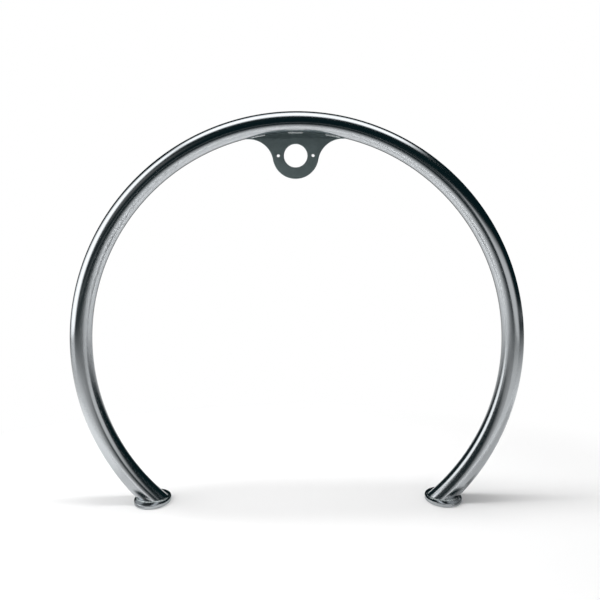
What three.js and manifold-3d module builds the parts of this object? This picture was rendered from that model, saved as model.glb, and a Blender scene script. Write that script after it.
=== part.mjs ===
// Hoop bike rack: a stainless tube rolled to a ring of about three quarters of a turn, standing on two
// round foot discs, with a lock plate stitched under its top. Millimetres, +Z up, the front faces -Y.
import * as THREE from "three";
import { mergeVertices } from "three/addons/utils/BufferGeometryUtils.js";
import Module from "manifold-3d";

const wasm = await Module();
wasm.setup();

// Sizes of the hoop. It comes out 900 mm high and 1048 mm wide.
const ringRadius = 500; // to the tube's centre line
const footSpacing = 677; // between the feet's centres
const tubeDiameter = 48.3;
const tubeWall = 2.6;

// Sizes of each foot
const discDiameter = 84;
const discThickness = 8;
const discTopRounding = 1.6;
const discBottomChamfer = 0.8;
const bushDiameter = 20;
const bushRise = 12; // above the disc, inside the tube
const bushChamfer = 1;
const threadDiameter = 12;
const threadPitch = 1.75;
const threadDepth = 16;
const footWeldLeg = 2.6;

// Sizes of the lock plate
const plateThickness = 5;
const plateTipDepth = 0.7; // where the flares run out along the tube
const plateEdgeBreak = 0.2;
const lobeRadius = 53;
const flareRadius = 57;
const eyeDiameter = 54;
const eyeDrop = 53; // from the tube's inner side to the eye's centre
const screwHoleDiameter = 7;
const screwHoleSpacing = 80;
const stitchLength = 35;
const stitchLeg = 3;

// Room left between pieces that the welds join, and the overrun of every cut
const seatGap = 0.3;
const cutOverrun = 20;
const mergeDistance = 0.0001;

// Facets
const ringSegments = 108;
const tubeSides = 36;
const boreSides = 18;
const discSides = 48;
const bushSides = 24;
const footWeldStations = 48;
const stitchSteps = 360;
const arcSteps = 12;
const beadSteps = 4;

// A weld's face swells past the straight line between its toes by this share, and the outer stitches
// sit at this share of the way from the plate's middle to its tips.
const beadSwellShare = 0.16;
const stitchPlaceShare = 0.75;

// Places worked out from the sizes
const tubeRadius = tubeDiameter / 2;
const footX = footSpacing / 2;
const dropToDisc = Math.sqrt(ringRadius ** 2 - footX ** 2); // the centre line meets the disc's middle
const hoopCentreHeight = discThickness + dropToDisc;
const ringFlatShare = Math.cos(Math.PI / ringSegments); // a chord's middle against its ends
const innerEdgeRadius = (ringRadius - tubeRadius) * ringFlatShare;
const plateEdgeRadius = innerEdgeRadius - seatGap;
const eyeHeight = ringRadius - tubeRadius - eyeDrop; // above the hoop's centre
const plateCorner = flareAndTip();

const polished = { color: 0xc3c7c9, roughness: 0.08, metalness: 1 };
const satin = { color: 0x8b9496, roughness: 0.35, metalness: 1 };
const welded = { color: 0xb4b9ba, roughness: 0.3, metalness: 1 };
const turned = { color: 0x9aa1a3, roughness: 0.28, metalness: 1 };

function asSolid(geometry) {
  const bare = geometry.clone();
  bare.deleteAttribute("normal");
  bare.deleteAttribute("uv");
  const merged = mergeVertices(bare, mergeDistance);
  return new wasm.Manifold(
    new wasm.Mesh({
      numProp: 3,
      vertProperties: merged.attributes.position.array,
      triVerts: new Uint32Array(merged.index.array),
    }),
  );
}

function asGeometry(solid) {
  const mesh = solid.getMesh();
  const geometry = new THREE.BufferGeometry();
  geometry.setAttribute("position", new THREE.BufferAttribute(mesh.vertProperties, mesh.numProp));
  geometry.setIndex(new THREE.BufferAttribute(mesh.triVerts, 1));
  geometry.computeVertexNormals();
  return geometry;
}

// A ring of closed sections, each a list of points, with the last section joined to the first.
function closedLoft(sections) {
  const count = sections[0].length;
  const index = [];
  sections.forEach((_, s) => {
    const here = s * count;
    const next = ((s + 1) % sections.length) * count;
    for (let i = 0; i < count; i++) {
      const j = (i + 1) % count;
      index.push(here + i, next + j, here + j);
      index.push(here + i, next + i, next + j);
    }
  });
  const geometry = new THREE.BufferGeometry().setFromPoints(sections.flat());
  geometry.setIndex(index);
  return geometry;
}

function named(name, geometry, finish) {
  geometry.computeVertexNormals();
  const mesh = new THREE.Mesh(geometry, new THREE.MeshStandardMaterial(finish));
  mesh.name = name;
  return mesh;
}

// The tube is a torus with its bore taken out, cut level where it lands on the discs.
function hoopTube() {
  const upright = (geometry) => asSolid(geometry.rotateX(Math.PI / 2));
  const outside = upright(new THREE.TorusGeometry(ringRadius, tubeRadius, tubeSides, ringSegments));
  const bore = upright(
    new THREE.TorusGeometry(ringRadius, tubeRadius - tubeWall, boreSides, ringSegments),
  );
  const cutDepth = ringRadius + tubeRadius + cutOverrun;
  const belowDiscs = new THREE.BoxGeometry(2 * cutDepth, tubeDiameter + cutOverrun, cutDepth);
  belowDiscs.translate(0, 0, -dropToDisc - cutDepth / 2);
  return asGeometry(outside.subtract(bore).subtract(asSolid(belowDiscs)));
}

// Turned shapes are drawn as radius and height, and stand upright.
function turnedShape(points, sides) {
  const profile = points.map(([radius, height]) => new THREE.Vector2(radius, height));
  return new THREE.LatheGeometry(profile, sides).rotateX(Math.PI / 2);
}

function footDisc() {
  const radius = discDiameter / 2;
  const hole = bushDiameter / 2 + seatGap;
  const rounding = [];
  for (let i = 0; i <= beadSteps; i++) {
    const angle = ((i / beadSteps) * Math.PI) / 2;
    rounding.push([
      radius - discTopRounding * (1 - Math.cos(angle)),
      discThickness - discTopRounding * (1 - Math.sin(angle)),
    ]);
  }
  const outline = [
    [hole, 0],
    [radius - discBottomChamfer, 0],
    [radius, discBottomChamfer],
    ...rounding,
    [hole, discThickness],
    [hole, 0],
  ];
  return turnedShape(outline, discSides);
}

// The bush takes the ground stud from below, in a blind thread drilled to its core size.
function anchorBush() {
  const radius = bushDiameter / 2;
  const core = (threadDiameter - threadPitch) / 2;
  const mouth = threadDiameter / 2 + bushChamfer / 2;
  const top = discThickness + bushRise;
  const drillPoint = core / Math.sqrt(3);
  const outline = [
    [0, threadDepth + Math.min(drillPoint, (top - threadDepth) / 2)],
    [core, threadDepth],
    [core, mouth - core],
    [mouth, 0],
    [radius, 0],
    [radius, top - bushChamfer],
    [radius - bushChamfer, top],
    [0, top],
  ];
  return turnedShape(outline, bushSides);
}

// Points of a weld's face from one toe to the other, swelling away from the root.
function beadFace(root, toeA, toeB) {
  const middle = toeA.clone().add(toeB).multiplyScalar(1 / 2);
  const control = middle.clone().add(middle.clone().sub(root).multiplyScalar(2 * beadSwellShare));
  const curve =
    root instanceof THREE.Vector3
      ? new THREE.QuadraticBezierCurve3(toeA, control, toeB)
      : new THREE.QuadraticBezierCurve(toeA, control, toeB);
  return curve.getPoints(beadSteps);
}

// A point on the right leg, measured from the middle of its foot: aroundTube is the angle round the
// tube from the side that faces away from the hoop's centre, and upTube the way along it from the disc.
function pointOnLeg(aroundTube, upTube) {
  const radius = tubeRadius + seatGap;
  const reach = ringRadius + radius * Math.cos(aroundTube);
  const angle = Math.asin(-dropToDisc / reach) + upTube / reach;
  return new THREE.Vector3(
    reach * Math.cos(angle) - footX,
    radius * Math.sin(aroundTube),
    reach * Math.sin(angle) + hoopCentreHeight,
  );
}

// The weld follows the slanted joint of leg and disc, one section for each station round the tube.
function footWeld() {
  const turn = (2 * Math.PI) / footWeldStations;
  const sections = [];
  for (let s = 0; s < footWeldStations; s++) {
    const around = s * turn;
    const root = pointOnLeg(around, 0);
    const along = pointOnLeg(around + turn / 2, 0).sub(pointOnLeg(around - turn / 2, 0));
    const outward = new THREE.Vector3(along.y, -along.x, 0).normalize();
    const discToe = root.clone().addScaledVector(outward, footWeldLeg);
    const tubeToe = pointOnLeg(around, footWeldLeg);
    sections.push([root, ...beadFace(root, discToe, tubeToe)]);
  }
  return closedLoft(sections);
}

// Where two circles meet, on the side given: 1 to the left of the way from a to b, -1 to the right.
function circlesMeet(a, radiusA, b, radiusB, side) {
  const way = b.clone().sub(a);
  const distance = way.length();
  const along = (radiusA ** 2 - radiusB ** 2 + distance ** 2) / (2 * distance);
  const across = Math.sqrt(radiusA ** 2 - along ** 2);
  way.normalize();
  return new THREE.Vector2(
    a.x + way.x * along - side * way.y * across,
    a.y + way.y * along + side * way.x * across,
  );
}

// The plate's right flare is a round that touches both the lobe and the plate's top edge. The tip is
// where the two run so close that the plate is only as deep as a blunt tip. The hoop's centre is origin.
function flareAndTip() {
  const centre = new THREE.Vector2(0, 0);
  const eye = new THREE.Vector2(0, eyeHeight);
  const flare = circlesMeet(centre, plateEdgeRadius - flareRadius, eye, lobeRadius + flareRadius, -1);
  const tip = circlesMeet(centre, plateEdgeRadius - plateTipDepth, flare, flareRadius, 1);
  return { flare, tip };
}

// The plate's outline, in the hoop's plane: an edge that follows the tube, a blunt tip at each end, and
// a flare on each side that runs into the round lobe.
function plateOutline() {
  const { flare, tip } = plateCorner;
  const toFlare = Math.atan2(flare.y - eyeHeight, flare.x);
  const toTip = Math.atan2(tip.y - flare.y, tip.x - flare.x);
  const tipAngle = tip.angle();
  const outline = new THREE.Shape();
  outline.absarc(0, 0, plateEdgeRadius, tipAngle, Math.PI - tipAngle, false);
  outline.absarc(-flare.x, flare.y, flareRadius, Math.PI - toTip, -toFlare, true);
  outline.absarc(0, eyeHeight, lobeRadius, Math.PI - toFlare, 2 * Math.PI + toFlare, false);
  outline.absarc(flare.x, flare.y, flareRadius, Math.PI + toFlare, toTip, true);
  outline.closePath();
  const hole = (x, diameter) => {
    outline.holes.push(new THREE.Path().absarc(x, eyeHeight, diameter / 2, 0, 2 * Math.PI, false));
  };
  hole(0, eyeDiameter);
  hole(-screwHoleSpacing / 2, screwHoleDiameter);
  hole(screwHoleSpacing / 2, screwHoleDiameter);
  return outline;
}

function lockPlate() {
  const geometry = new THREE.ExtrudeGeometry(plateOutline(), {
    depth: plateThickness - 2 * plateEdgeBreak,
    bevelThickness: plateEdgeBreak,
    bevelSize: plateEdgeBreak,
    bevelOffset: -plateEdgeBreak,
    bevelSegments: 1,
    curveSegments: arcSteps,
  });
  geometry.translate(0, 0, plateEdgeBreak - plateThickness / 2);
  return asGeometry(asSolid(geometry.rotateX(Math.PI / 2)));
}

// A stitch weld is a short length of a turned ring, between the plate's face and the tube. side is -1
// for the front face and 1 for the back, and place is -1, 0 or 1 along the plate.
function stitchWeld(side, place) {
  const face = plateThickness / 2 + seatGap;
  const seat = tubeRadius + seatGap;
  const inSection = (angle) =>
    new THREE.Vector2(
      (ringRadius - seat * Math.cos(angle)) * ringFlatShare,
      seat * Math.sin(angle),
    );
  const rootAngle = Math.asin(face / seat);
  const toeAngle = rootAngle + stitchLeg / seat;
  const root = inSection(rootAngle);
  const plateToe = new THREE.Vector2(root.x - stitchLeg, face);
  const seatPoints = [];
  for (let i = 1; i < beadSteps; i++) {
    seatPoints.push(inSection(toeAngle + (i / beadSteps) * (rootAngle - toeAngle)));
  }
  const outline = [...beadFace(root, plateToe, inSection(toeAngle)), ...seatPoints, root, plateToe];
  const profile = outline.map((point) => new THREE.Vector2(point.x, side * point.y));
  if (side > 0) profile.reverse();
  const ring = asSolid(new THREE.LatheGeometry(profile, stitchSteps));
  const toTip = Math.PI / 2 - plateCorner.tip.angle();
  const length = new THREE.BoxGeometry(
    stitchLength,
    tubeDiameter + cutOverrun,
    tubeDiameter + cutOverrun,
  );
  length.translate(0, 0, innerEdgeRadius);
  length.rotateY(place * stitchPlaceShare * toTip);
  return asGeometry(ring.intersect(asSolid(length)));
}

const rack = new THREE.Group();

const hoop = new THREE.Group();
hoop.position.z = hoopCentreHeight;
hoop.add(named("hoop_tube", hoopTube(), polished));
hoop.add(named("lock_plate", lockPlate(), satin));
for (const [face, side] of Object.entries({ front: -1, back: 1 })) {
  for (const [place, count] of Object.entries({ left: -1, centre: 0, right: 1 })) {
    hoop.add(named(`plate_weld_${face}_${place}`, stitchWeld(side, count), welded));
  }
}
rack.add(hoop);

for (const [side, turn] of Object.entries({ left: Math.PI, right: 0 })) {
  const foot = new THREE.Group();
  foot.position.x = footX * Math.cos(turn);
  foot.rotation.z = turn;
  foot.add(named(`${side}_foot_disc`, footDisc(), polished));
  foot.add(named(`${side}_anchor_bush`, anchorBush(), turned));
  foot.add(named(`${side}_foot_weld`, footWeld(), welded));
  rack.add(foot);
}

export default rack;
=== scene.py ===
import math

import bmesh
import bpy
from mathutils import Euler, Matrix, Vector


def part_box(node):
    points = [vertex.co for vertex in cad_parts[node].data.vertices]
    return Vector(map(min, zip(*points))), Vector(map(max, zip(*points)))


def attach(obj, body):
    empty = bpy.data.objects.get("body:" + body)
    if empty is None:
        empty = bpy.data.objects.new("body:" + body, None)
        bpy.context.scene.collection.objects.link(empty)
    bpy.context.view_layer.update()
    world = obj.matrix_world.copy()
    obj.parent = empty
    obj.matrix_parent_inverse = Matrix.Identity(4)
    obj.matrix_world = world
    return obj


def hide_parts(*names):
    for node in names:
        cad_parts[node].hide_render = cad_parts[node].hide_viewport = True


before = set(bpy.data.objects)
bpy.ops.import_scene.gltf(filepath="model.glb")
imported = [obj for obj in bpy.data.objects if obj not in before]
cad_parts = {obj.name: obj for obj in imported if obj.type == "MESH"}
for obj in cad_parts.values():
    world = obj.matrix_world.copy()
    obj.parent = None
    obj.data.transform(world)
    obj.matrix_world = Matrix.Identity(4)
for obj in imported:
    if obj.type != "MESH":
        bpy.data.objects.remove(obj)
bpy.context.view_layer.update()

mm = 0.001
mergeDistance = 0.002 * mm
sharpAngle = math.radians(32)  # edges that turn further than this stay crisp

# The hoop's sizes, read from the CAD frame. The torus stands on the discs' tops.
hoopLow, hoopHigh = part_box("hoop_tube")
tubeRadius = hoopHigh.y
ringRadius = hoopHigh.x - tubeRadius
discTop = hoopLow.z
centreHeight = hoopHigh.z - hoopHigh.x
dropToDisc = centreHeight - discTop


# An sRGB hex value as the linear colour that a shader takes.
def linear(hexColour):
    shares = [int(hexColour[i:i + 2], 16) / 255 for i in (0, 2, 4)]
    return [s / 12.92 if s <= 0.04045 else ((s + 0.055) / 1.055) ** 2.4 for s in shares] + [1]


# Adds a node with its settings. An input takes a value, a socket, or a node, which means its first output.
def addNode(tree, kind, inputs=None, **settings):
    node = tree.nodes.new(kind)
    for name, value in settings.items():
        setattr(node, name, value)
    for socket, source in (inputs or {}).items():
        if isinstance(source, bpy.types.Node):
            source = source.outputs[0]
        if isinstance(source, bpy.types.NodeSocket):
            tree.links.new(source, node.inputs[socket])
        else:
            node.inputs[socket].default_value = source
    return node


# A quad skin over rings of points, closed round each ring. With loop it also runs from the last ring to the
# first, and without it each end closes on its pole.
def skinMesh(name, rings, loop=True, poles=()):
    around, count = len(rings[0]), len(rings)
    points = [point for ring in rings for point in ring]
    faces = []
    for r in range(count if loop else count - 1):
        here, there = r * around, (r + 1) % count * around
        for i in range(around):
            j = (i + 1) % around
            faces.append((here + i, here + j, there + j, there + i))
    for pole, first in zip(poles, (0, (count - 1) * around)):
        faces += [(first + i, first + (i + 1) % around, len(points)) for i in range(around)]
        points.append(pole)
    mesh = bpy.data.meshes.new(name)
    mesh.from_pydata(points, [], faces)
    return mesh


# A finished piece: doubles merged, faces outwards, smooth but for its real edges.
def makePiece(name, mesh, node, material=None):
    shape = bmesh.new()
    shape.from_mesh(mesh)
    bmesh.ops.remove_doubles(shape, verts=shape.verts, dist=mergeDistance)
    bmesh.ops.recalc_face_normals(shape, faces=shape.faces)
    shape.to_mesh(mesh)
    shape.free()
    mesh.shade_smooth()
    mesh.set_sharp_from_angle(angle=sharpAngle)
    if material:
        mesh.materials.clear()
        mesh.materials.append(material)
    piece = bpy.data.objects.new(name, mesh)
    bpy.context.scene.collection.objects.link(piece)
    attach(piece, "root")
    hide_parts(node)
    return piece


# Runs a geometry tree on a mesh and returns the plain mesh that comes out.
def runTree(tree, mesh, values):
    carrier = bpy.data.objects.new(tree.name, mesh)
    bpy.context.scene.collection.objects.link(carrier)
    modifier = carrier.modifiers.new(tree.name, "NODES")
    modifier.node_group = tree
    for socket in tree.interface.items_tree:
        if socket.in_out == "INPUT" and socket.name in values:
            modifier[socket.identifier] = values[socket.name]
    graph = bpy.context.evaluated_depsgraph_get()
    made = bpy.data.meshes.new_from_object(carrier.evaluated_get(graph), depsgraph=graph)
    carrier.modifiers.remove(modifier)
    bpy.data.objects.remove(carrier)
    return made


# An empty geometry tree with named inputs. Returns the tree and its input node.
def newTree(name, inputs):
    tree = bpy.data.node_groups.new(name, "GeometryNodeTree")
    tree.interface.new_socket("Geometry", in_out="INPUT", socket_type="NodeSocketGeometry")
    for label, kind in inputs.items():
        tree.interface.new_socket(label, in_out="INPUT", socket_type="NodeSocket" + kind)
    tree.interface.new_socket("Geometry", in_out="OUTPUT", socket_type="NodeSocketGeometry")
    return tree, addNode(tree, "NodeGroupInput")


# Ends a tree with real geometry and its material.
def endTree(tree, geometry, material):
    real = addNode(tree, "GeometryNodeRealizeInstances", {0: geometry})
    painted = addNode(tree, "GeometryNodeSetMaterial", {"Geometry": real, "Material": material})
    addNode(tree, "NodeGroupOutput", {0: painted})


# Starts a metal: its principled shader, with everything that is the same all over set on the shader itself.
def newMetal(name, roughness):
    material = bpy.data.materials.new(name)
    material.use_nodes = True
    tree = material.node_tree
    shader = tree.nodes["Principled BSDF"]
    shader.inputs["Metallic"].default_value = 1
    shader.inputs["Roughness"].default_value = roughness
    return material, tree, shader


# Materials

noiseSpread = (0.3, 0.7)  # most of a noise texture's values lie between these
waveCycle = 0.314  # at scale 1 a wave texture runs through one cycle in this length


# Stainless tube, belt-polished and then electropolished. It mirrors the room with slightly soft edges, and
# the last belt leaves faint streaks round the tube that dull the dark bands a little.
tubePolish = {
    "colour": "c0c4c7",
    "handledColour": "babec1",
    "handledPatch": 70 * mm,
    "handledDetail": 2,
    "streakWidth": 2.2 * mm,  # real belt marks are 0.2 mm apart, too fine to show
    "streakLength": 40 * mm,
    "streakDetail": 3,
    "streakDepth": 0.0002 * mm,
    "roughness": (0.15, 0.18),
}


def polishedTubeMetal():
    p = tubePolish
    material, tree, shader = newMetal("electropolishedStainlessTube", p["roughness"][0])
    surface = addNode(tree, "ShaderNodeUVMap", uv_map="tubeWrap")
    alongBelt = addNode(tree, "ShaderNodeMapping", {
        "Vector": surface,
        "Scale": (1 / p["streakWidth"], 1 / p["streakLength"], 1),
    })
    streaks = addNode(tree, "ShaderNodeTexNoise", {
        "Vector": alongBelt, "Scale": 1, "Detail": p["streakDetail"],
    })
    place = addNode(tree, "ShaderNodeTexCoord").outputs["Object"]
    patches = addNode(tree, "ShaderNodeTexNoise", {
        "Vector": place, "Scale": 1 / p["handledPatch"], "Detail": p["handledDetail"],
    })
    colour = addNode(tree, "ShaderNodeMix", {
        0: patches, 6: linear(p["colour"]), 7: linear(p["handledColour"]),
    }, data_type="RGBA")
    tree.links.new(colour.outputs[2], shader.inputs["Base Color"])
    dullness = addNode(tree, "ShaderNodeMapRange", {
        "Value": streaks, "From Min": noiseSpread[0], "From Max": noiseSpread[1],
        "To Min": p["roughness"][0], "To Max": p["roughness"][1],
    })
    tree.links.new(dullness.outputs[0], shader.inputs["Roughness"])
    relief = addNode(tree, "ShaderNodeBump", {
        "Strength": 1, "Distance": p["streakDepth"], "Height": streaks,
    })
    tree.links.new(relief.outputs[0], shader.inputs["Normal"])
    return material


# Stainless bar, turned and electropolished. It mirrors as the tube does, through fine rings from the tool.
discPolish = {
    "colour": "adb1b4",
    "ringPitch": 2.4 * mm,  # the tool feeds 0.2 mm a turn, too fine to show
    "ringWander": 1.5,
    "ringDetail": 2,
    "ringDepth": 0.0012 * mm,
    "roughness": (0.13, 0.2),
}


def polishedDiscMetal(name, centre):
    p = discPolish
    material, tree, shader = newMetal(name, p["roughness"][0])
    shader.inputs["Base Color"].default_value = linear(p["colour"])
    place = addNode(tree, "ShaderNodeTexCoord").outputs["Object"]
    centred = addNode(tree, "ShaderNodeMapping", {"Vector": place, "Location": (-centre, 0, 0)})
    rings = addNode(tree, "ShaderNodeTexWave", {
        "Vector": centred, "Scale": waveCycle / p["ringPitch"],
        "Distortion": p["ringWander"], "Detail": p["ringDetail"],
    }, wave_type="RINGS", rings_direction="Z")
    dullness = addNode(tree, "ShaderNodeMapRange", {
        "Value": rings.outputs["Fac"],
        "To Min": p["roughness"][0], "To Max": p["roughness"][1],
    })
    tree.links.new(dullness.outputs[0], shader.inputs["Roughness"])
    relief = addNode(tree, "ShaderNodeBump", {
        "Strength": 1, "Distance": p["ringDepth"], "Height": rings.outputs["Fac"],
    })
    tree.links.new(relief.outputs[0], shader.inputs["Normal"])
    return material


# Stainless sheet, pickled at the mill and electropolished after cutting. Its etched grain spreads the
# light to a soft mottled grey.
sheetFinish = {
    "colour": "b2c0c1",
    "grainColour": "93a2a4",
    "grain": 1.8 * mm,  # etched grains are 0.05 mm wide, too fine to show
    "grainDetail": 4,
    "grainRoughness": 0.6,
    "grainDepth": 0.012 * mm,
    "cloud": 22 * mm,
    "cloudDetail": 3,
    "mottleSpread": (0.15, 0.4),  # most of grain times cloud lies between these
    "roughness": (0.5, 0.66),
}


def satinSheetMetal():
    p = sheetFinish
    material, tree, shader = newMetal("pickledStainlessSheet", p["roughness"][0])
    place = addNode(tree, "ShaderNodeTexCoord").outputs["Object"]
    grain = addNode(tree, "ShaderNodeTexNoise", {
        "Vector": place, "Scale": 1 / p["grain"],
        "Detail": p["grainDetail"], "Roughness": p["grainRoughness"],
    })
    cloud = addNode(tree, "ShaderNodeTexNoise", {
        "Vector": place, "Scale": 1 / p["cloud"], "Detail": p["cloudDetail"],
    })
    mottle = addNode(tree, "ShaderNodeMath", {0: grain, 1: cloud}, operation="MULTIPLY")
    colour = addNode(tree, "ShaderNodeMix", {
        0: cloud, 6: linear(p["colour"]), 7: linear(p["grainColour"]),
    }, data_type="RGBA")
    tree.links.new(colour.outputs[2], shader.inputs["Base Color"])
    dullness = addNode(tree, "ShaderNodeMapRange", {
        "Value": mottle, "From Min": p["mottleSpread"][0], "From Max": p["mottleSpread"][1],
        "To Min": p["roughness"][0], "To Max": p["roughness"][1],
    })
    tree.links.new(dullness.outputs[0], shader.inputs["Roughness"])
    relief = addNode(tree, "ShaderNodeBump", {
        "Strength": 1, "Distance": p["grainDepth"], "Height": grain,
    })
    tree.links.new(relief.outputs[0], shader.inputs["Normal"])
    return material


# TIG weld metal in stainless, electropolished. Bright ripples that glint, with a few dull pits.
weldFinish = {
    "colour": "b1b7b8",
    "pit": 0.9 * mm,
    "pitDetail": 2,
    "pitDepth": 0.03 * mm,
    "roughness": (0.16, 0.28),
}


def weldMetal():
    p = weldFinish
    material, tree, shader = newMetal("electropolishedWeldMetal", p["roughness"][0])
    shader.inputs["Base Color"].default_value = linear(p["colour"])
    place = addNode(tree, "ShaderNodeTexCoord").outputs["Object"]
    pits = addNode(tree, "ShaderNodeTexNoise", {
        "Vector": place, "Scale": 1 / p["pit"], "Detail": p["pitDetail"],
    })
    dullness = addNode(tree, "ShaderNodeMapRange", {
        "Value": pits, "From Min": noiseSpread[0], "From Max": noiseSpread[1],
        "To Min": p["roughness"][0], "To Max": p["roughness"][1],
    })
    tree.links.new(dullness.outputs[0], shader.inputs["Roughness"])
    relief = addNode(tree, "ShaderNodeBump", {
        "Strength": 1, "Distance": p["pitDepth"], "Height": pits,
    })
    tree.links.new(relief.outputs[0], shader.inputs["Normal"])
    return material


# Stainless bar as it leaves the lathe: bright, with tool marks that run round it.
turnedFinish = {
    "colour": "a9b0b2",
    "feed": 0.6 * mm,
    "feedWander": 0.5,
    "feedDepth": 0.01 * mm,
    "roughness": (0.2, 0.32),
}


def turnedBarMetal():
    p = turnedFinish
    material, tree, shader = newMetal("turnedStainlessBar", p["roughness"][0])
    shader.inputs["Base Color"].default_value = linear(p["colour"])
    place = addNode(tree, "ShaderNodeTexCoord").outputs["Object"]
    marks = addNode(tree, "ShaderNodeTexWave", {
        "Vector": place, "Scale": waveCycle / p["feed"], "Distortion": p["feedWander"],
    }, bands_direction="Z")
    dullness = addNode(tree, "ShaderNodeMapRange", {
        "Value": marks.outputs["Fac"],
        "To Min": p["roughness"][0], "To Max": p["roughness"][1],
    })
    tree.links.new(dullness.outputs[0], shader.inputs["Roughness"])
    relief = addNode(tree, "ShaderNodeBump", {
        "Strength": 1, "Distance": p["feedDepth"], "Height": marks.outputs["Fac"],
    })
    tree.links.new(relief.outputs[0], shader.inputs["Normal"])
    return material


# Hoop tube

hoop = {"wall": 2.6 * mm, "stations": 360, "sides": 72, "seamMerge": 0.01 * mm}


# One grid wraps the whole wall: its rows run up the outside from the right foot to the left one, and back
# down the bore. Each row's angle is stretched so that both ends lie flat on the discs.
def hoopTubeTree():
    tree, given = newTree("rolledTube", {
        "Ring Radius": "Float", "Tube Radius": "Float", "Wall": "Float", "Centre Height": "Float",
        "Drop to Disc": "Float", "Stations": "Int", "Sides": "Int", "Material": "Material",
    })
    lastRow = addNode(tree, "ShaderNodeMath", {
        0: given.outputs["Stations"], 1: 2, 2: 2,  # both skins, and a step across the wall at each end
    }, operation="MULTIPLY_ADD")
    rows = addNode(tree, "ShaderNodeMath", {0: lastRow, 1: 1}, operation="ADD")
    columns = addNode(tree, "ShaderNodeMath", {0: given.outputs["Sides"], 1: 1}, operation="ADD")
    grid = addNode(tree, "GeometryNodeMeshGrid", {
        "Size X": 1, "Size Y": 1, "Vertices X": rows, "Vertices Y": columns,
    })
    share = addNode(tree, "ShaderNodeSeparateXYZ", {0: grid.outputs["UV Map"]})
    row = addNode(tree, "ShaderNodeMath", {0: share.outputs["X"], 1: lastRow}, operation="MULTIPLY")
    lastBack = addNode(tree, "ShaderNodeMath", {0: lastRow, 1: 1}, operation="SUBTRACT")
    back = addNode(tree, "ShaderNodeMath", {0: lastBack, 1: row}, operation="SUBTRACT")
    folded = addNode(tree, "ShaderNodeMath", {0: row, 1: back}, operation="MINIMUM")
    alongShare = addNode(tree, "ShaderNodeMath", {
        0: folded, 1: given.outputs["Stations"],
    }, operation="DIVIDE", use_clamp=True)
    boreMiddle = addNode(tree, "ShaderNodeMath", {
        0: given.outputs["Stations"], 1: 1.5, 2: 1,
    }, operation="MULTIPLY_ADD")
    boreReach = addNode(tree, "ShaderNodeMath", {
        0: given.outputs["Stations"], 1: 0.5, 2: 0.25,  # a quarter row past the bore's last row
    }, operation="MULTIPLY_ADD")
    inBore = addNode(tree, "ShaderNodeMath", {0: row, 1: boreMiddle, 2: boreReach}, operation="COMPARE")
    wallHere = addNode(tree, "ShaderNodeMath", {0: inBore, 1: given.outputs["Wall"]}, operation="MULTIPLY")
    radius = addNode(tree, "ShaderNodeMath", {
        0: given.outputs["Tube Radius"], 1: wallHere,
    }, operation="SUBTRACT")

    around = addNode(tree, "ShaderNodeMath", {0: share.outputs["Y"], 1: 2 * math.pi}, operation="MULTIPLY")
    cosAround = addNode(tree, "ShaderNodeMath", {0: around}, operation="COSINE")
    sinAround = addNode(tree, "ShaderNodeMath", {0: around}, operation="SINE")
    reach = addNode(tree, "ShaderNodeMath", {
        0: radius, 1: cosAround, 2: given.outputs["Ring Radius"],
    }, operation="MULTIPLY_ADD")
    fall = addNode(tree, "ShaderNodeMath", {0: given.outputs["Drop to Disc"], 1: reach}, operation="DIVIDE")
    below = addNode(tree, "ShaderNodeMath", {0: fall}, operation="ARCSINE")
    sweep = addNode(tree, "ShaderNodeMath", {0: below, 1: 2, 2: math.pi}, operation="MULTIPLY_ADD")
    turned = addNode(tree, "ShaderNodeMath", {0: alongShare, 1: sweep}, operation="MULTIPLY")
    angle = addNode(tree, "ShaderNodeMath", {0: turned, 1: below}, operation="SUBTRACT")

    cosAngle = addNode(tree, "ShaderNodeMath", {0: angle}, operation="COSINE")
    sinAngle = addNode(tree, "ShaderNodeMath", {0: angle}, operation="SINE")
    place = addNode(tree, "ShaderNodeCombineXYZ", {
        "X": addNode(tree, "ShaderNodeMath", {0: reach, 1: cosAngle}, operation="MULTIPLY"),
        "Y": addNode(tree, "ShaderNodeMath", {0: radius, 1: sinAround}, operation="MULTIPLY"),
        "Z": addNode(tree, "ShaderNodeMath", {
            0: reach, 1: sinAngle, 2: given.outputs["Centre Height"],
        }, operation="MULTIPLY_ADD"),
    })
    wrap = addNode(tree, "ShaderNodeCombineXYZ", {
        "X": addNode(tree, "ShaderNodeMath", {
            0: angle, 1: given.outputs["Ring Radius"],
        }, operation="MULTIPLY"),
        "Y": addNode(tree, "ShaderNodeMath", {0: around, 1: radius}, operation="MULTIPLY"),
    })
    wrapped = addNode(tree, "GeometryNodeStoreNamedAttribute", {
        "Geometry": grid, "Name": "tubeWrap", "Value": wrap,
    }, data_type="FLOAT2", domain="CORNER")
    bent = addNode(tree, "GeometryNodeSetPosition", {"Geometry": wrapped, "Position": place})
    closed = addNode(tree, "GeometryNodeMergeByDistance", {
        "Geometry": bent, "Distance": hoop["seamMerge"],
    })
    endTree(tree, closed, given.outputs["Material"])
    return tree


def makeHoopTube():
    made = runTree(hoopTubeTree(), bpy.data.meshes.new("hoopStart"), {
        "Ring Radius": ringRadius, "Tube Radius": tubeRadius, "Wall": hoop["wall"],
        "Centre Height": centreHeight, "Drop to Disc": dropToDisc,
        "Stations": hoop["stations"], "Sides": hoop["sides"], "Material": polishedTubeMetal(),
    })
    return makePiece("hoopTube", made, "hoop_tube")


# Weld beads

bead = {
    "swellShare": 0.16,  # how far the face swells, as a share of its distance from the root
    "faceSteps": 10,
    "ripplePitch": 2.8 * mm,  # drawn at about twice the real pitch, so that ripples show
    "rippleSteps": 8,
    "rippleHeight": 0.55 * mm,
    "lowestRippleShare": 0.45,
    "bow": 0.45,  # how far a ripple's middle runs ahead of its ends, in ripples
    "rootSink": 0.6 * mm,  # the root lies this deep in the pieces that the bead joins
}


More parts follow.
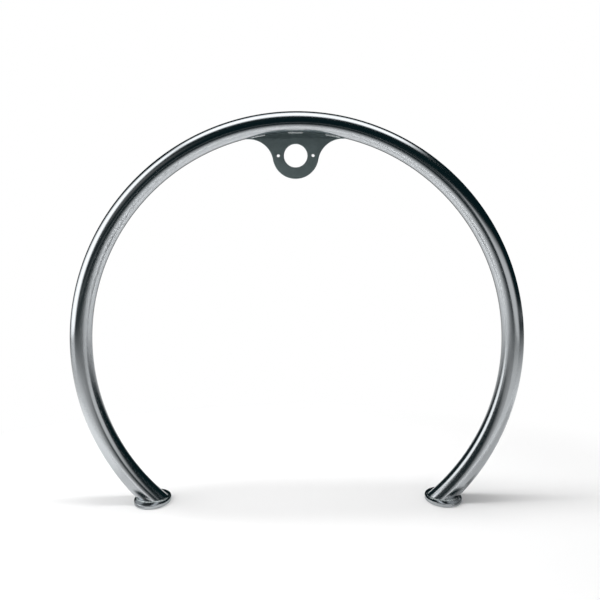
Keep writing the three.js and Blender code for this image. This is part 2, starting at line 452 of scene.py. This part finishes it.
# Ripples stand on a smooth bead: crescents across its face, each a little different, dying out at the toes.
def rippleTree():
    tree, given = newTree("weldRipples", {
        "Ripples": "Float", "Height": "Float", "Bow": "Float", "Seed": "Float", "Material": "Material",
    })
    along = addNode(tree, "GeometryNodeInputNamedAttribute", {"Name": "alongBead"}, data_type="FLOAT")
    across = addNode(tree, "GeometryNodeInputNamedAttribute", {"Name": "acrossBead"}, data_type="FLOAT")
    acrossSquared = addNode(tree, "ShaderNodeMath", {0: across, 1: across}, operation="MULTIPLY")
    bowed = addNode(tree, "ShaderNodeMath", {
        0: acrossSquared, 1: given.outputs["Bow"],
    }, operation="MULTIPLY")
    phase = addNode(tree, "ShaderNodeMath", {
        0: along, 1: given.outputs["Ripples"], 2: bowed,
    }, operation="MULTIPLY_ADD")
    within = addNode(tree, "ShaderNodeMath", {0: phase}, operation="FRACT")
    halfTurn = addNode(tree, "ShaderNodeMath", {0: within, 1: math.pi}, operation="MULTIPLY")
    crest = addNode(tree, "ShaderNodeMath", {0: halfTurn}, operation="SINE")
    count = addNode(tree, "ShaderNodeMath", {0: phase}, operation="FLOOR")
    counted = addNode(tree, "ShaderNodeMath", {0: count, 1: given.outputs["Ripples"]}, operation="MODULO")
    seeded = addNode(tree, "ShaderNodeMath", {0: counted, 1: given.outputs["Seed"]}, operation="ADD")
    chance = addNode(tree, "ShaderNodeTexWhiteNoise", {"W": seeded}, noise_dimensions="1D")
    own = addNode(tree, "ShaderNodeMapRange", {
        "Value": chance.outputs["Value"], "To Min": bead["lowestRippleShare"], "To Max": 1,
    })
    fade = addNode(tree, "ShaderNodeMath", {0: 1, 1: acrossSquared}, operation="SUBTRACT", use_clamp=True)
    tall = addNode(tree, "ShaderNodeMath", {0: crest, 1: own}, operation="MULTIPLY")
    faded = addNode(tree, "ShaderNodeMath", {0: tall, 1: fade}, operation="MULTIPLY")
    lift = addNode(tree, "ShaderNodeMath", {0: faded, 1: given.outputs["Height"]}, operation="MULTIPLY")
    offset = addNode(tree, "ShaderNodeVectorMath", {
        0: addNode(tree, "GeometryNodeInputNormal"), "Scale": lift,
    }, operation="SCALE")
    rippled = addNode(tree, "GeometryNodeSetPosition", {
        "Geometry": given.outputs["Geometry"], "Offset": offset,
    })
    endTree(tree, rippled, given.outputs["Material"])
    return tree


# One cross-section of a bead: its swelling face from toe to toe, and its hidden root.
def beadSection(root, toeA, toeB):
    middle = (toeA + toeB) / 2
    control = middle + (middle - root) * 2 * bead["swellShare"]
    points = []
    for i in range(bead["faceSteps"] + 1):
        t = i / bead["faceSteps"]
        points.append(toeA * (1 - t) ** 2 + control * 2 * t * (1 - t) + toeB * t**2)
    return points + [root + (root - middle).normalized() * bead["rootSink"]]


# A bead over its sections, marked with the share of the way along it and from -1 to 1 across its face.
def beadMesh(name, sections, shares, loop, poles=()):
    mesh = skinMesh(name, sections, loop, poles)
    steps = bead["faceSteps"]
    across = [2 * i / steps - 1 for i in range(steps + 1)] + [1]
    alongValues = [share for share in shares for _ in across]
    acrossValues = across * len(sections)
    for label, values in (("alongBead", alongValues), ("acrossBead", acrossValues)):
        spare = [0 if label == "alongBead" else 1] * (len(mesh.vertices) - len(values))
        mesh.attributes.new(label, "FLOAT", "POINT").data.foreach_set("value", values + spare)
    return mesh


# Runs the ripple tree on a bead, once its faces point outwards.
def rippled(mesh, tree, ripples, seed, material):
    shape = bmesh.new()
    shape.from_mesh(mesh)
    bmesh.ops.recalc_face_normals(shape, faces=shape.faces)
    shape.to_mesh(mesh)
    shape.free()
    return runTree(tree, mesh, {
        "Ripples": float(ripples), "Height": bead["rippleHeight"], "Bow": bead["bow"],
        "Seed": float(seed), "Material": material,
    })


footWeld = {"leg": 2.6 * mm, "middleSeed": 7}


# A point on the tube's surface near a foot: around is the angle from the side that faces away from the
# hoop's centre, up the way along the tube from the disc, and side 1 for the right foot or -1 for the left.
def pointOnLeg(around, up, side):
    reach = ringRadius + tubeRadius * math.cos(around)
    angle = math.asin(-dropToDisc / reach) + up / reach
    return Vector((
        side * reach * math.cos(angle),
        side * tubeRadius * math.sin(around),
        centreHeight + reach * math.sin(angle),
    ))


def makeFootWeld(side, tree, material):
    name = "rightFootWeld" if side > 0 else "leftFootWeld"
    leg = footWeld["leg"]
    joint = [pointOnLeg(math.radians(a), 0, side) for a in range(360)]
    length = sum((b - a).length for a, b in zip(joint, joint[1:] + joint[:1]))
    ripples = round(length / bead["ripplePitch"])
    stations = ripples * bead["rippleSteps"]
    sections, shares = [], []
    for s in range(stations):
        around = 2 * math.pi * s / stations
        step = math.pi / stations
        root = pointOnLeg(around, 0, side)
        onward = pointOnLeg(around + step, 0, side) - pointOnLeg(around - step, 0, side)
        outward = Vector((onward.y, -onward.x, 0)).normalized()
        sections.append(beadSection(root, root + outward * leg, pointOnLeg(around, leg, side)))
        shares.append(s / stations)
    mesh = rippled(
        beadMesh(name, sections, shares, True), tree, ripples, footWeld["middleSeed"] + side, material)
    return makePiece(name, mesh, "right_foot_weld" if side > 0 else "left_foot_weld")


# Lock plate

plate = {
    "thickness": 5 * mm,
    "tipDepth": 0.7 * mm,
    "edgeRound": 0.35 * mm,
    "lobeRadius": 53 * mm,
    "flareRadius": 57 * mm,
    "eyeRadius": 27 * mm,
    "eyeDrop": 53 * mm,
    "screwHoleRadius": 3.5 * mm,
    "screwHoleSpacing": 80 * mm,
    "seatGap": 0.1 * mm,
    "edgeSteps": 3,
    "longArcStep": math.radians(0.5),
    "arcStep": math.radians(2),
    "holeStep": math.radians(4),
}
eyeHeight = ringRadius - tubeRadius - plate["eyeDrop"]  # above the hoop's centre


# Where two circles meet, on the left of the way from a to b for side 1 and on the right for -1.
def circlesMeet(a, radiusA, b, radiusB, side):
    distance = (b - a).length
    way = (b - a) / distance
    along = (radiusA**2 - radiusB**2 + distance**2) / (2 * distance)
    across = side * math.sqrt(radiusA**2 - along**2)
    return a + way * along + Vector((-way.y, way.x)) * across


# Points on an arc from one angle to another, in fine even steps.
def arcPoints(centre, radius, start, end, step):
    count = max(2, math.ceil(abs(end - start) / step))
    angles = [start + (end - start) * i / count for i in range(count + 1)]
    return [centre + Vector((math.cos(a), math.sin(a))) * radius for a in angles]


# The plate's outline and its holes, drawn flat about the hoop's centre, and the angle of its right tip.
def plateOutline():
    p = plate
    edge = ringRadius - tubeRadius - p["seatGap"]
    middle, eye = Vector((0, 0)), Vector((0, eyeHeight))
    flare = circlesMeet(middle, edge - p["flareRadius"], eye, p["lobeRadius"] + p["flareRadius"], -1)
    tip = circlesMeet(middle, edge - p["tipDepth"], flare, p["flareRadius"], 1)
    tipAngle = math.atan2(tip.y, tip.x)
    toTip = math.atan2(tip.y - flare.y, tip.x - flare.x)
    toFlare = math.atan2(flare.y - eye.y, flare.x)
    half = math.pi
    leftFlare = Vector((-flare.x, flare.y))
    outline = arcPoints(middle, edge, tipAngle, half - tipAngle, p["longArcStep"])
    outline += arcPoints(leftFlare, p["flareRadius"], half - toTip, -toFlare, p["arcStep"])
    outline += arcPoints(eye, p["lobeRadius"], half - toFlare, 2 * half + toFlare, p["arcStep"])[1:]
    outline += arcPoints(flare, p["flareRadius"], half + toFlare, toTip, p["arcStep"])[1:]
    holes = [(0, p["eyeRadius"])] + [
        (side * p["screwHoleSpacing"] / 2, p["screwHoleRadius"]) for side in (-1, 1)]
    rings = [outline]
    for x, radius in holes:
        rings.append(arcPoints(Vector((x, eyeHeight)), radius, 0, 2 * half, p["holeStep"])[:-1])
    return rings, tipAngle


def makeLockPlate():
    rings, _ = plateOutline()
    curve = bpy.data.curves.new("lockPlateCut", "CURVE")
    curve.dimensions = "2D"
    curve.fill_mode = "BOTH"
    curve.bevel_depth = plate["edgeRound"]
    curve.offset = -plate["edgeRound"]
    curve.bevel_resolution = plate["edgeSteps"]
    curve.extrude = plate["thickness"] / 2 - plate["edgeRound"]
    for ring in rings:
        spline = curve.splines.new("POLY")
        spline.points.add(len(ring) - 1)
        for point, spot in zip(spline.points, ring):
            point.co = (spot.x, spot.y, 0, 1)
        spline.use_cyclic_u = True
    cut = bpy.data.objects.new("lockPlateCut", curve)
    bpy.context.scene.collection.objects.link(cut)
    graph = bpy.context.evaluated_depsgraph_get()
    mesh = bpy.data.meshes.new_from_object(cut.evaluated_get(graph), depsgraph=graph)
    bpy.data.objects.remove(cut)
    upright = Matrix.Translation((0, 0, centreHeight)) @ Matrix.Rotation(math.radians(90), 4, "X")
    mesh.transform(upright)
    return makePiece("lockPlate", mesh, "lock_plate", satinSheetMetal())


# Stitch welds

stitch = {
    "length": 35 * mm,
    "leg": 3 * mm,
    "placeShare": 0.75,  # of the way from the plate's middle to its tips
    "endRound": 2.4 * mm,
    "endLegShare": 0.05,
    "pitch": 2.6 * mm,
    "firstSeed": 24,
    "seedStep": 13,
}


# A short bead between the plate's face and the tube, with rounded ends. face is -1 at the front.
def makeStitchWeld(name, node, face, angle, seed, tree, material):
    half = plate["thickness"] / 2
    rootRadius = ringRadius - math.sqrt(tubeRadius**2 - half**2)
    rootAngle = math.asin(half / tubeRadius)
    ripples = round(stitch["length"] / stitch["pitch"])
    stations = ripples * bead["rippleSteps"]

    def inSection(turn, radius, side):
        return Vector((radius * math.sin(turn), side, centreHeight + radius * math.cos(turn)))

    sections, shares = [], []
    for s in range(stations + 1):
        way = (s / stations - 0.5) * stitch["length"]
        fromEnd = min(1, (stitch["length"] / 2 - abs(way)) / stitch["endRound"])
        leg = stitch["leg"] * max(stitch["endLegShare"], math.sqrt(1 - (1 - fromEnd) ** 2))
        turn = angle + way / rootRadius
        toe = rootAngle + leg / tubeRadius
        root = inSection(turn, rootRadius, face * half)
        plateToe = inSection(turn, rootRadius - leg, face * half)
        tubeToe = inSection(
            turn, ringRadius - tubeRadius * math.cos(toe), face * tubeRadius * math.sin(toe))
        sections.append(beadSection(root, plateToe, tubeToe))
        shares.append(s / stations)
    poles = [sum(section, Vector()) / len(section) for section in (sections[0], sections[-1])]
    mesh = rippled(beadMesh(name, sections, shares, False, poles), tree, ripples, seed, material)
    return makePiece(name, mesh, node)


# Feet

disc = {
    "topRounding": 1.6 * mm,
    "roundingSteps": 12,
    "bottomChamfer": 0.8 * mm,
    "boreRadius": 10.1 * mm,
    "sides": 144,
}


def makeFootDisc(side):
    node = "right_foot_disc" if side > 0 else "left_foot_disc"
    low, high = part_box(node)
    centre, radius = (low.x + high.x) / 2, (high.x - low.x) / 2
    rounding, chamfer = disc["topRounding"], disc["bottomChamfer"]
    profile = [(disc["boreRadius"], low.z), (radius - chamfer, low.z), (radius, low.z + chamfer)]
    for i in range(disc["roundingSteps"] + 1):
        angle = math.radians(90 * i / disc["roundingSteps"])
        profile.append((
            radius - rounding * (1 - math.cos(angle)), high.z - rounding * (1 - math.sin(angle)),
        ))
    profile.append((disc["boreRadius"], high.z))
    rings = []
    for s in range(disc["sides"]):
        turn = 2 * math.pi * s / disc["sides"]
        rings.append([Vector((centre + r * math.cos(turn), r * math.sin(turn), z)) for r, z in profile])
    name = "rightFootDisc" if side > 0 else "leftFootDisc"
    metal = polishedDiscMetal(name + "Metal", centre)
    return makePiece(name, skinMesh(name, rings), node, metal)


bush = {
    "chamfer": 1 * mm,
    "threadRadius": 6 * mm,
    "threadPitch": 1.75 * mm,
    "threadDepth": 16 * mm,
    "sides": 48,
    "turnSteps": 8,
}


# The bush's skin runs from the drill point down the thread, out over the mouth and up the outside.
def makeAnchorBush(side, material):
    node = "right_anchor_bush" if side > 0 else "left_anchor_bush"
    low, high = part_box(node)
    centre, radius = (low.x + high.x) / 2, (high.x - low.x) / 2
    pitch, crest = bush["threadPitch"], bush["threadRadius"]
    core = crest - pitch / 2
    depth = bush["threadDepth"]
    steps = round(depth / pitch * bush["turnSteps"])
    rows = []
    for i in range(steps + 1):
        z = low.z + depth * (1 - i / steps)
        run = min(1, i / bush["turnSteps"])  # the thread runs out towards the drill point
        rows.append((z, core, run * (crest - core)))
    rows += [(low.z, crest + bush["chamfer"] / 2, 0), (low.z, radius, 0)]
    rows += [(high.z - bush["chamfer"], radius, 0), (high.z, radius - bush["chamfer"], 0)]
    rings = []
    for z, inner, grooveDepth in rows:
        ring = []
        for s in range(bush["sides"]):
            share = s / bush["sides"]
            groove = 1 - abs(2 * ((z / pitch + share) % 1) - 1)
            r = inner + grooveDepth * groove
            ring.append(Vector((
                centre + r * math.cos(2 * math.pi * share), r * math.sin(2 * math.pi * share), z)))
        rings.append(ring)
    drillPoint = Vector((centre, 0, low.z + depth + (high.z - low.z - depth) / 2))
    name = "rightAnchorBush" if side > 0 else "leftAnchorBush"
    mesh = skinMesh(name, rings, False, (drillPoint, Vector((centre, 0, high.z))))
    return makePiece(name, mesh, node, material)


print("hoop tube")
makeHoopTube()
print("lock plate and its stitch welds")
makeLockPlate()
beadMetal = weldMetal()
ripplesTree = rippleTree()
_, tipAngle = plateOutline()
outerStitch = stitch["placeShare"] * (math.pi / 2 - tipAngle)
seed = stitch["firstSeed"]
for faceName, face in (("front", -1), ("back", 1)):
    for stitchName, along in (("left", -1), ("centre", 0), ("right", 1)):
        makeStitchWeld(
            "plateWeld" + faceName.title() + stitchName.title(), f"plate_weld_{faceName}_{stitchName}",
            face, along * outerStitch, seed, ripplesTree, beadMetal)
        seed += stitch["seedStep"]
print("feet")
barMetal = turnedBarMetal()
for side in (-1, 1):
    makeFootDisc(side)
    makeAnchorBush(side, barMetal)
    makeFootWeld(side, ripplesTree, beadMetal)


# Studio

# Polished metal shows the room it stands in. This one is dark, and the room, its cards and its gauzes are
# seen in the metal alone. Two lamps and the world light the floor.
studio = {
    "roomColour": (0.0022, 0.0127, 0.0156, 1),  # a dark blue-green, linear
    "roomLow": (-2.2, -1.75, 0),
    "roomHigh": (2.2, 2.5, 2.6),
    "skirt": (0.02, 0.48),  # the walls' pale foot, painted light that glows in place of the floor's light on them, fades out between these heights
    "skirtGlow": 0.48,
    "gauzeMiddle": -0.04,
    "gauzeReach": 3,
    "gauzeSides": 64,
    "floorReach": 12,
    "floorColour": "f2f2f2",
    "floorLit": (0.55, 0.9),  # the floor shows its light and shadows inside, plain white outside
    "floorStretch": (0.75, 1.3, 0),
    "ambient": 0.545,
}
# Each card: its middle, its turn in degrees, half its width and height to the middle of its soft edge, half
# that edge's own width, and its glow. A one-sided card is clear from behind.
cards = {
    "overheadPanel": {  # the bright line along the hoop's top
        "middle": (-0.02, -0.31, 2.2), "turn": (0, 0, 0),
        "half": (1.34, 0.57), "soft": (0.28, 0.3), "glow": 2.0,
    },
    "leftPanel": {  # the light on the outer side of the hoop's left half
        "middle": (-1.3, -0.42, 1.15), "turn": (90, -9, 90),
        "half": (0.48, 0.98), "soft": (0.3, 0.2), "glow": 2.0,
    },
    "rightCard": {  # the grey on the right half's outer side, and the thin grey line down the left leg
        "middle": (0.70, -0.75, 0.24), "turn": (90, 0, 57),
        "half": (0.42, 0.41), "soft": (0.14, 0.14), "glow": 0.8,
    },
    "hazeCard": {  # a faint haze beside the left half's light
        "middle": (-0.98, -1.3, 1.1), "turn": (90, 0, -51),
        "half": (0.3, 0.3), "soft": (0.5, 0.3), "glow": 0.2,
    },
    "innerPanel": {  # the bright line on the right leg's inner side
        "middle": (-0.379, 0.09, 0.445), "turn": (90, -14, 90),
        "half": (0.205, 0.175), "soft": (0.07, 0.05), "glow": 1.7, "oneSided": True,
    },
    "innerFlag": {  # the dark beside that line
        "middle": (-0.38, -0.2, 0.445), "turn": (90, 0, 90),
        "half": (0.7, 0.175), "soft": (0.02, 0.05), "glow": 0, "oneSided": True,
    },
    "leftShade": {  # painted shade: a grey card, seen in the metal alone, for the floor in shade outside the left foot
        "middle": (-0.425, -0.08, 0.002), "turn": (0, 0, 0),
        "half": (0.06, 0.2), "soft": (0.04, 0.1), "glow": 0.9,
    },
    "rightShade": {  # painted shade: a grey card, seen in the metal alone, for the floor in shade outside the right foot
        "middle": (0.65, -0.07, 0.002), "turn": (0, 0, 0),
        "half": (0.28, 0.21), "soft": (0.1, 0.12), "glow": 0.64,
    },
    "rightStrip": {  # painted shadow: a dark card, seen in the metal alone, deepening the shadow strip that starts at the right foot
        "middle": (0.42, -0.022, 0.003), "turn": (0, 0, 0),
        "half": (0.04, 0.024), "soft": (0.03, 0.014), "glow": 0.2,
    },
    "leftSpot": {  # painted dark reflection: a dark card on the floor, seen in the metal alone, for the dark oval low on the left leg
        "middle": (-0.360, -0.095, 0.003), "turn": (0, 0, -70),
        "half": (0.062, 0.021), "soft": (0.02, 0.009), "glow": 0,
    },
    "rightSpot": {  # painted dark reflection: a dark card on the floor, seen in the metal alone, for the dark oval low on the right leg
        "middle": (0.359, -0.105, 0.003), "turn": (0, 0, 70),
        "half": (0.075, 0.023), "soft": (0.03, 0.012), "glow": 0,
    },
}
# Each gauze is painted shade, clear inside an oval and thickening outwards. squeeze widens the oval
# sideways, and backSqueeze
# lengthens it behind the hoop.
gauzes = {
    "highGauze": {
        "height": 0.26, "squeeze": 0.55, "backSqueeze": 0.55, "fade": (0.15, 1.12), "thickness": 1,
    },
    "lowGauze": {
        "height": 0.004, "squeeze": 0.7, "backSqueeze": 0.6, "fade": (0.4, 1.8), "thickness": 0.55,
    },
}
lamps = {
    "keyLamp": {  # throws the two strips beside the feet
        "middle": (0.108, 0, 2.2), "aim": (0.108, 0, 0), "size": (1.85, 0.33), "radiance": 14.2,
    },
    "fillLamp": {  # the soft light from the left
        "middle": (-1.88, 0, 1.08), "aim": (0, 0, 0.1), "size": (0.92, 0.92), "radiance": 8.0,
    },
}


# Rays that look at the scene rather than light it: the camera's own, and those off metal or through glass.
def seenRays(tree):
    light = addNode(tree, "ShaderNodeLightPath").outputs
    inMetal = addNode(tree, "ShaderNodeMath", {
        0: light["Is Camera Ray"], 1: light["Is Glossy Ray"],
    }, operation="MAXIMUM")
    return addNode(tree, "ShaderNodeMath", {
        0: inMetal, 1: light["Is Transmission Ray"],
    }, operation="MAXIMUM")


def makeWorld():
    world = bpy.data.worlds.new("whiteBackground")
    bpy.context.scene.world = world
    world.use_nodes = True
    tree = world.node_tree
    tree.nodes.clear()
    ambient = addNode(tree, "ShaderNodeBackground", {
        "Color": (1, 1, 1, 1), "Strength": studio["ambient"],
    })
    white = addNode(tree, "ShaderNodeBackground", {"Color": (1, 1, 1, 1), "Strength": 1})
    both = addNode(tree, "ShaderNodeMixShader", {0: seenRays(tree), 1: ambient, 2: white})
    addNode(tree, "ShaderNodeOutputWorld", {0: both})


# A flat or boxed piece of the set, with a fresh node tree to fill.
def makeSetPiece(name, corners, faces):
    mesh = bpy.data.meshes.new(name)
    mesh.from_pydata(corners, [], faces)
    material = bpy.data.materials.new(name + "Surface")
    material.use_nodes = True
    material.node_tree.nodes.clear()
    mesh.materials.append(material)
    piece = bpy.data.objects.new(name, mesh)
    bpy.context.scene.collection.objects.link(piece)
    return piece, material.node_tree


# Keeps a piece of the set for the metal alone: it lights nothing else and casts no shadow.
def inMetalOnly(piece):
    piece.visible_camera = False
    piece.visible_diffuse = False
    piece.visible_transmission = False
    piece.visible_volume_scatter = False
    piece.visible_shadow = False


# The floor is lit for real round the object and fades into plain white further out.
def makeFloor():
    reach = studio["floorReach"]
    corners = [(-reach, -reach, 0), (reach, -reach, 0), (reach, reach, 0), (-reach, reach, 0)]
    _, tree = makeSetPiece("floor", corners, [(0, 1, 2, 3)])
    place = addNode(tree, "ShaderNodeTexCoord").outputs["Object"]
    stretched = addNode(tree, "ShaderNodeVectorMath", {
        0: place, 1: studio["floorStretch"],
    }, operation="MULTIPLY")
    away = addNode(tree, "ShaderNodeVectorMath", {0: stretched}, operation="LENGTH")
    far = addNode(tree, "ShaderNodeMapRange", {
        "Value": away.outputs["Value"],
        "From Min": studio["floorLit"][0], "From Max": studio["floorLit"][1],
    }, interpolation_type="SMOOTHSTEP")
    fade = addNode(tree, "ShaderNodeMath", {0: far, 1: seenRays(tree)}, operation="MULTIPLY")
    lit = addNode(tree, "ShaderNodeBsdfDiffuse", {"Color": linear(studio["floorColour"])})
    white = addNode(tree, "ShaderNodeEmission", {"Color": (1, 1, 1, 1), "Strength": 1})
    both = addNode(tree, "ShaderNodeMixShader", {0: fade, 1: lit, 2: white})
    addNode(tree, "ShaderNodeOutputMaterial", {0: both})


# Dark walls and a dark ceiling, with a pale foot painted on as a glow where the floor's light would catch
# them.
def makeRoom():
    low, high = studio["roomLow"], studio["roomHigh"]
    corners = [(x, y, z) for z in (low[2], high[2]) for x, y in (
        (low[0], low[1]), (high[0], low[1]), (high[0], high[1]), (low[0], high[1]))]
    walls = [(0, 1, 5, 4), (1, 2, 6, 5), (2, 3, 7, 6), (3, 0, 4, 7), (4, 5, 6, 7)]
    room, tree = makeSetPiece("room", corners, walls)
    place = addNode(tree, "ShaderNodeTexCoord").outputs["Object"]
    height = addNode(tree, "ShaderNodeSeparateXYZ", {0: place}).outputs["Z"]
    rise = addNode(tree, "ShaderNodeMapRange", {
        "Value": height, "From Min": studio["skirt"][0], "From Max": studio["skirt"][1],
    }, interpolation_type="SMOOTHSTEP")
    # the painted light of the walls' pale foot
    foot = [studio["skirtGlow"]] * 3 + [1]
    colour = addNode(tree, "ShaderNodeMix", {
        0: rise, 6: foot, 7: studio["roomColour"],
    }, data_type="RGBA")
    glow = addNode(tree, "ShaderNodeEmission", {"Color": colour.outputs[2], "Strength": 1})
    addNode(tree, "ShaderNodeOutputMaterial", {0: glow})
    inMetalOnly(room)


# Ends a surface that is partly clear. Where oneSided, it is quite clear from behind.
def endClear(tree, opacity, colour, oneSided):
    if oneSided:
        behind = addNode(tree, "ShaderNodeNewGeometry").outputs["Backfacing"]
        front = addNode(tree, "ShaderNodeMath", {0: 1, 1: behind}, operation="SUBTRACT")
        opacity = addNode(tree, "ShaderNodeMath", {0: opacity, 1: front}, operation="MULTIPLY")
    clear = addNode(tree, "ShaderNodeBsdfTransparent")
    glow = addNode(tree, "ShaderNodeEmission", {"Color": colour, "Strength": 1})
    both = addNode(tree, "ShaderNodeMixShader", {0: opacity, 1: clear, 2: glow})
    addNode(tree, "ShaderNodeOutputMaterial", {0: both})


# A card or panel with soft edges, drawn flat about its own middle and then turned and placed. One without
# a glow is as dark as the room.
def makeCard(name, middle, turn, half, soft, glow, oneSided=False):
    x, y = half[0] + soft[0], half[1] + soft[1]
    card, tree = makeSetPiece(name, [(-x, -y, 0), (x, -y, 0), (x, y, 0), (-x, y, 0)], [(0, 1, 2, 3)])
    turned = Euler([math.radians(a) for a in turn]).to_matrix().to_4x4()
    card.matrix_world = Matrix.Translation(middle) @ turned
    place = addNode(tree, "ShaderNodeTexCoord").outputs["Object"]
    parts = addNode(tree, "ShaderNodeSeparateXYZ", {0: place}).outputs
    cover = []
    for axis, reach, blur in zip("XY", half, soft):
        fromMiddle = addNode(tree, "ShaderNodeMath", {0: parts[axis]}, operation="ABSOLUTE")
        cover.append(addNode(tree, "ShaderNodeMapRange", {
            "Value": fromMiddle, "From Min": reach - blur, "From Max": reach + blur,
            "To Min": 1, "To Max": 0,
        }, interpolation_type="SMOOTHSTEP"))
    opacity = addNode(tree, "ShaderNodeMath", {0: cover[0], 1: cover[1]}, operation="MULTIPLY")
    endClear(tree, opacity, [glow] * 3 + [1] if glow else studio["roomColour"], oneSided)
    inMetalOnly(card)


# A dark gauze lies level over the floor, thicker further out: painted shade, so that the metal sees the
# floor darken away from the set as if its light fell off. Its clear middle is left open, and it is clear
# from below.
def makeGauze(name, height, squeeze, backSqueeze, fade, thickness):
    sides, corners, sheets = studio["gauzeSides"], [], []
    for i in range(sides):
        turn = 2 * math.pi * i / sides
        for reach in (fade[0], studio["gauzeReach"]):
            across = studio["gauzeMiddle"] + reach * math.cos(turn) / squeeze
            along = reach * math.sin(turn)
            corners.append((across, along / backSqueeze if along > 0 else along, height))
        here, after = 2 * i, 2 * ((i + 1) % sides)
        sheets.append((here, here + 1, after + 1, after))
    gauze, tree = makeSetPiece(name, corners, sheets)
    place = addNode(tree, "ShaderNodeTexCoord").outputs["Object"]
    parts = addNode(tree, "ShaderNodeSeparateXYZ", {0: place}).outputs
    sideways = addNode(tree, "ShaderNodeMath", {
        0: parts["X"], 1: squeeze, 2: -studio["gauzeMiddle"] * squeeze,
    }, operation="MULTIPLY_ADD")
    forward = addNode(tree, "ShaderNodeMath", {0: parts["Y"], 1: -1}, operation="MULTIPLY")
    backward = addNode(tree, "ShaderNodeMath", {0: parts["Y"], 1: backSqueeze}, operation="MULTIPLY")
    depth = addNode(tree, "ShaderNodeMath", {0: forward, 1: backward}, operation="MAXIMUM")
    flat = addNode(tree, "ShaderNodeCombineXYZ", {"X": sideways, "Y": depth})
    away = addNode(tree, "ShaderNodeVectorMath", {0: flat}, operation="LENGTH")
    opacity = addNode(tree, "ShaderNodeMapRange", {
        "Value": away.outputs["Value"], "From Min": fade[0], "From Max": fade[1],
        "To Min": 0, "To Max": thickness,
    }, interpolation_type="SMOOTHSTEP")
    endClear(tree, opacity, studio["roomColour"], True)
    inMetalOnly(gauze)


# A lamp for the floor: an area lamp of a given radiance that no metal shows.
def makeLamp(name, middle, aim, size, radiance):
    lamp = bpy.data.lights.new(name, "AREA")
    lamp.shape = "RECTANGLE"
    lamp.size, lamp.size_y = size
    lamp.energy = radiance * size[0] * size[1] * math.pi
    holder = bpy.data.objects.new(name, lamp)
    holder.location = middle
    holder.rotation_euler = (Vector(aim) - Vector(middle)).to_track_quat("-Z", "Y").to_euler()
    holder.visible_camera = False
    holder.visible_glossy = False
    bpy.context.scene.collection.objects.link(holder)


camera = {
    "place": (0.0085, -1.168, 0.600),
    "pitchDown": 1.183,  # degrees
    "roll": 0.372,  # degrees
    "lens": 30.35,  # mm
    "sensor": 36,  # mm wide
    "shiftY": -0.0790,
}


def makeCamera():
    lens = bpy.data.cameras.new("camera")
    lens.sensor_width = camera["sensor"]
    lens.lens = camera["lens"]
    lens.shift_y = camera["shiftY"]
    eyePoint = bpy.data.objects.new("camera", lens)
    eyePoint.matrix_world = (
        Matrix.Translation(camera["place"])
        @ Matrix.Rotation(math.radians(90 - camera["pitchDown"]), 4, "X")
        @ Matrix.Rotation(math.radians(-camera["roll"]), 4, "Z")
    )
    bpy.context.scene.collection.objects.link(eyePoint)
    bpy.context.scene.camera = eyePoint


print("studio")
bpy.context.scene.view_settings.view_transform = "Standard"
makeWorld()
makeFloor()
makeRoom()
for name, values in cards.items():
    makeCard(name, **values)
for name, values in gauzes.items():
    makeGauze(name, **values)
for name, values in lamps.items():
    makeLamp(name, **values)
makeCamera()
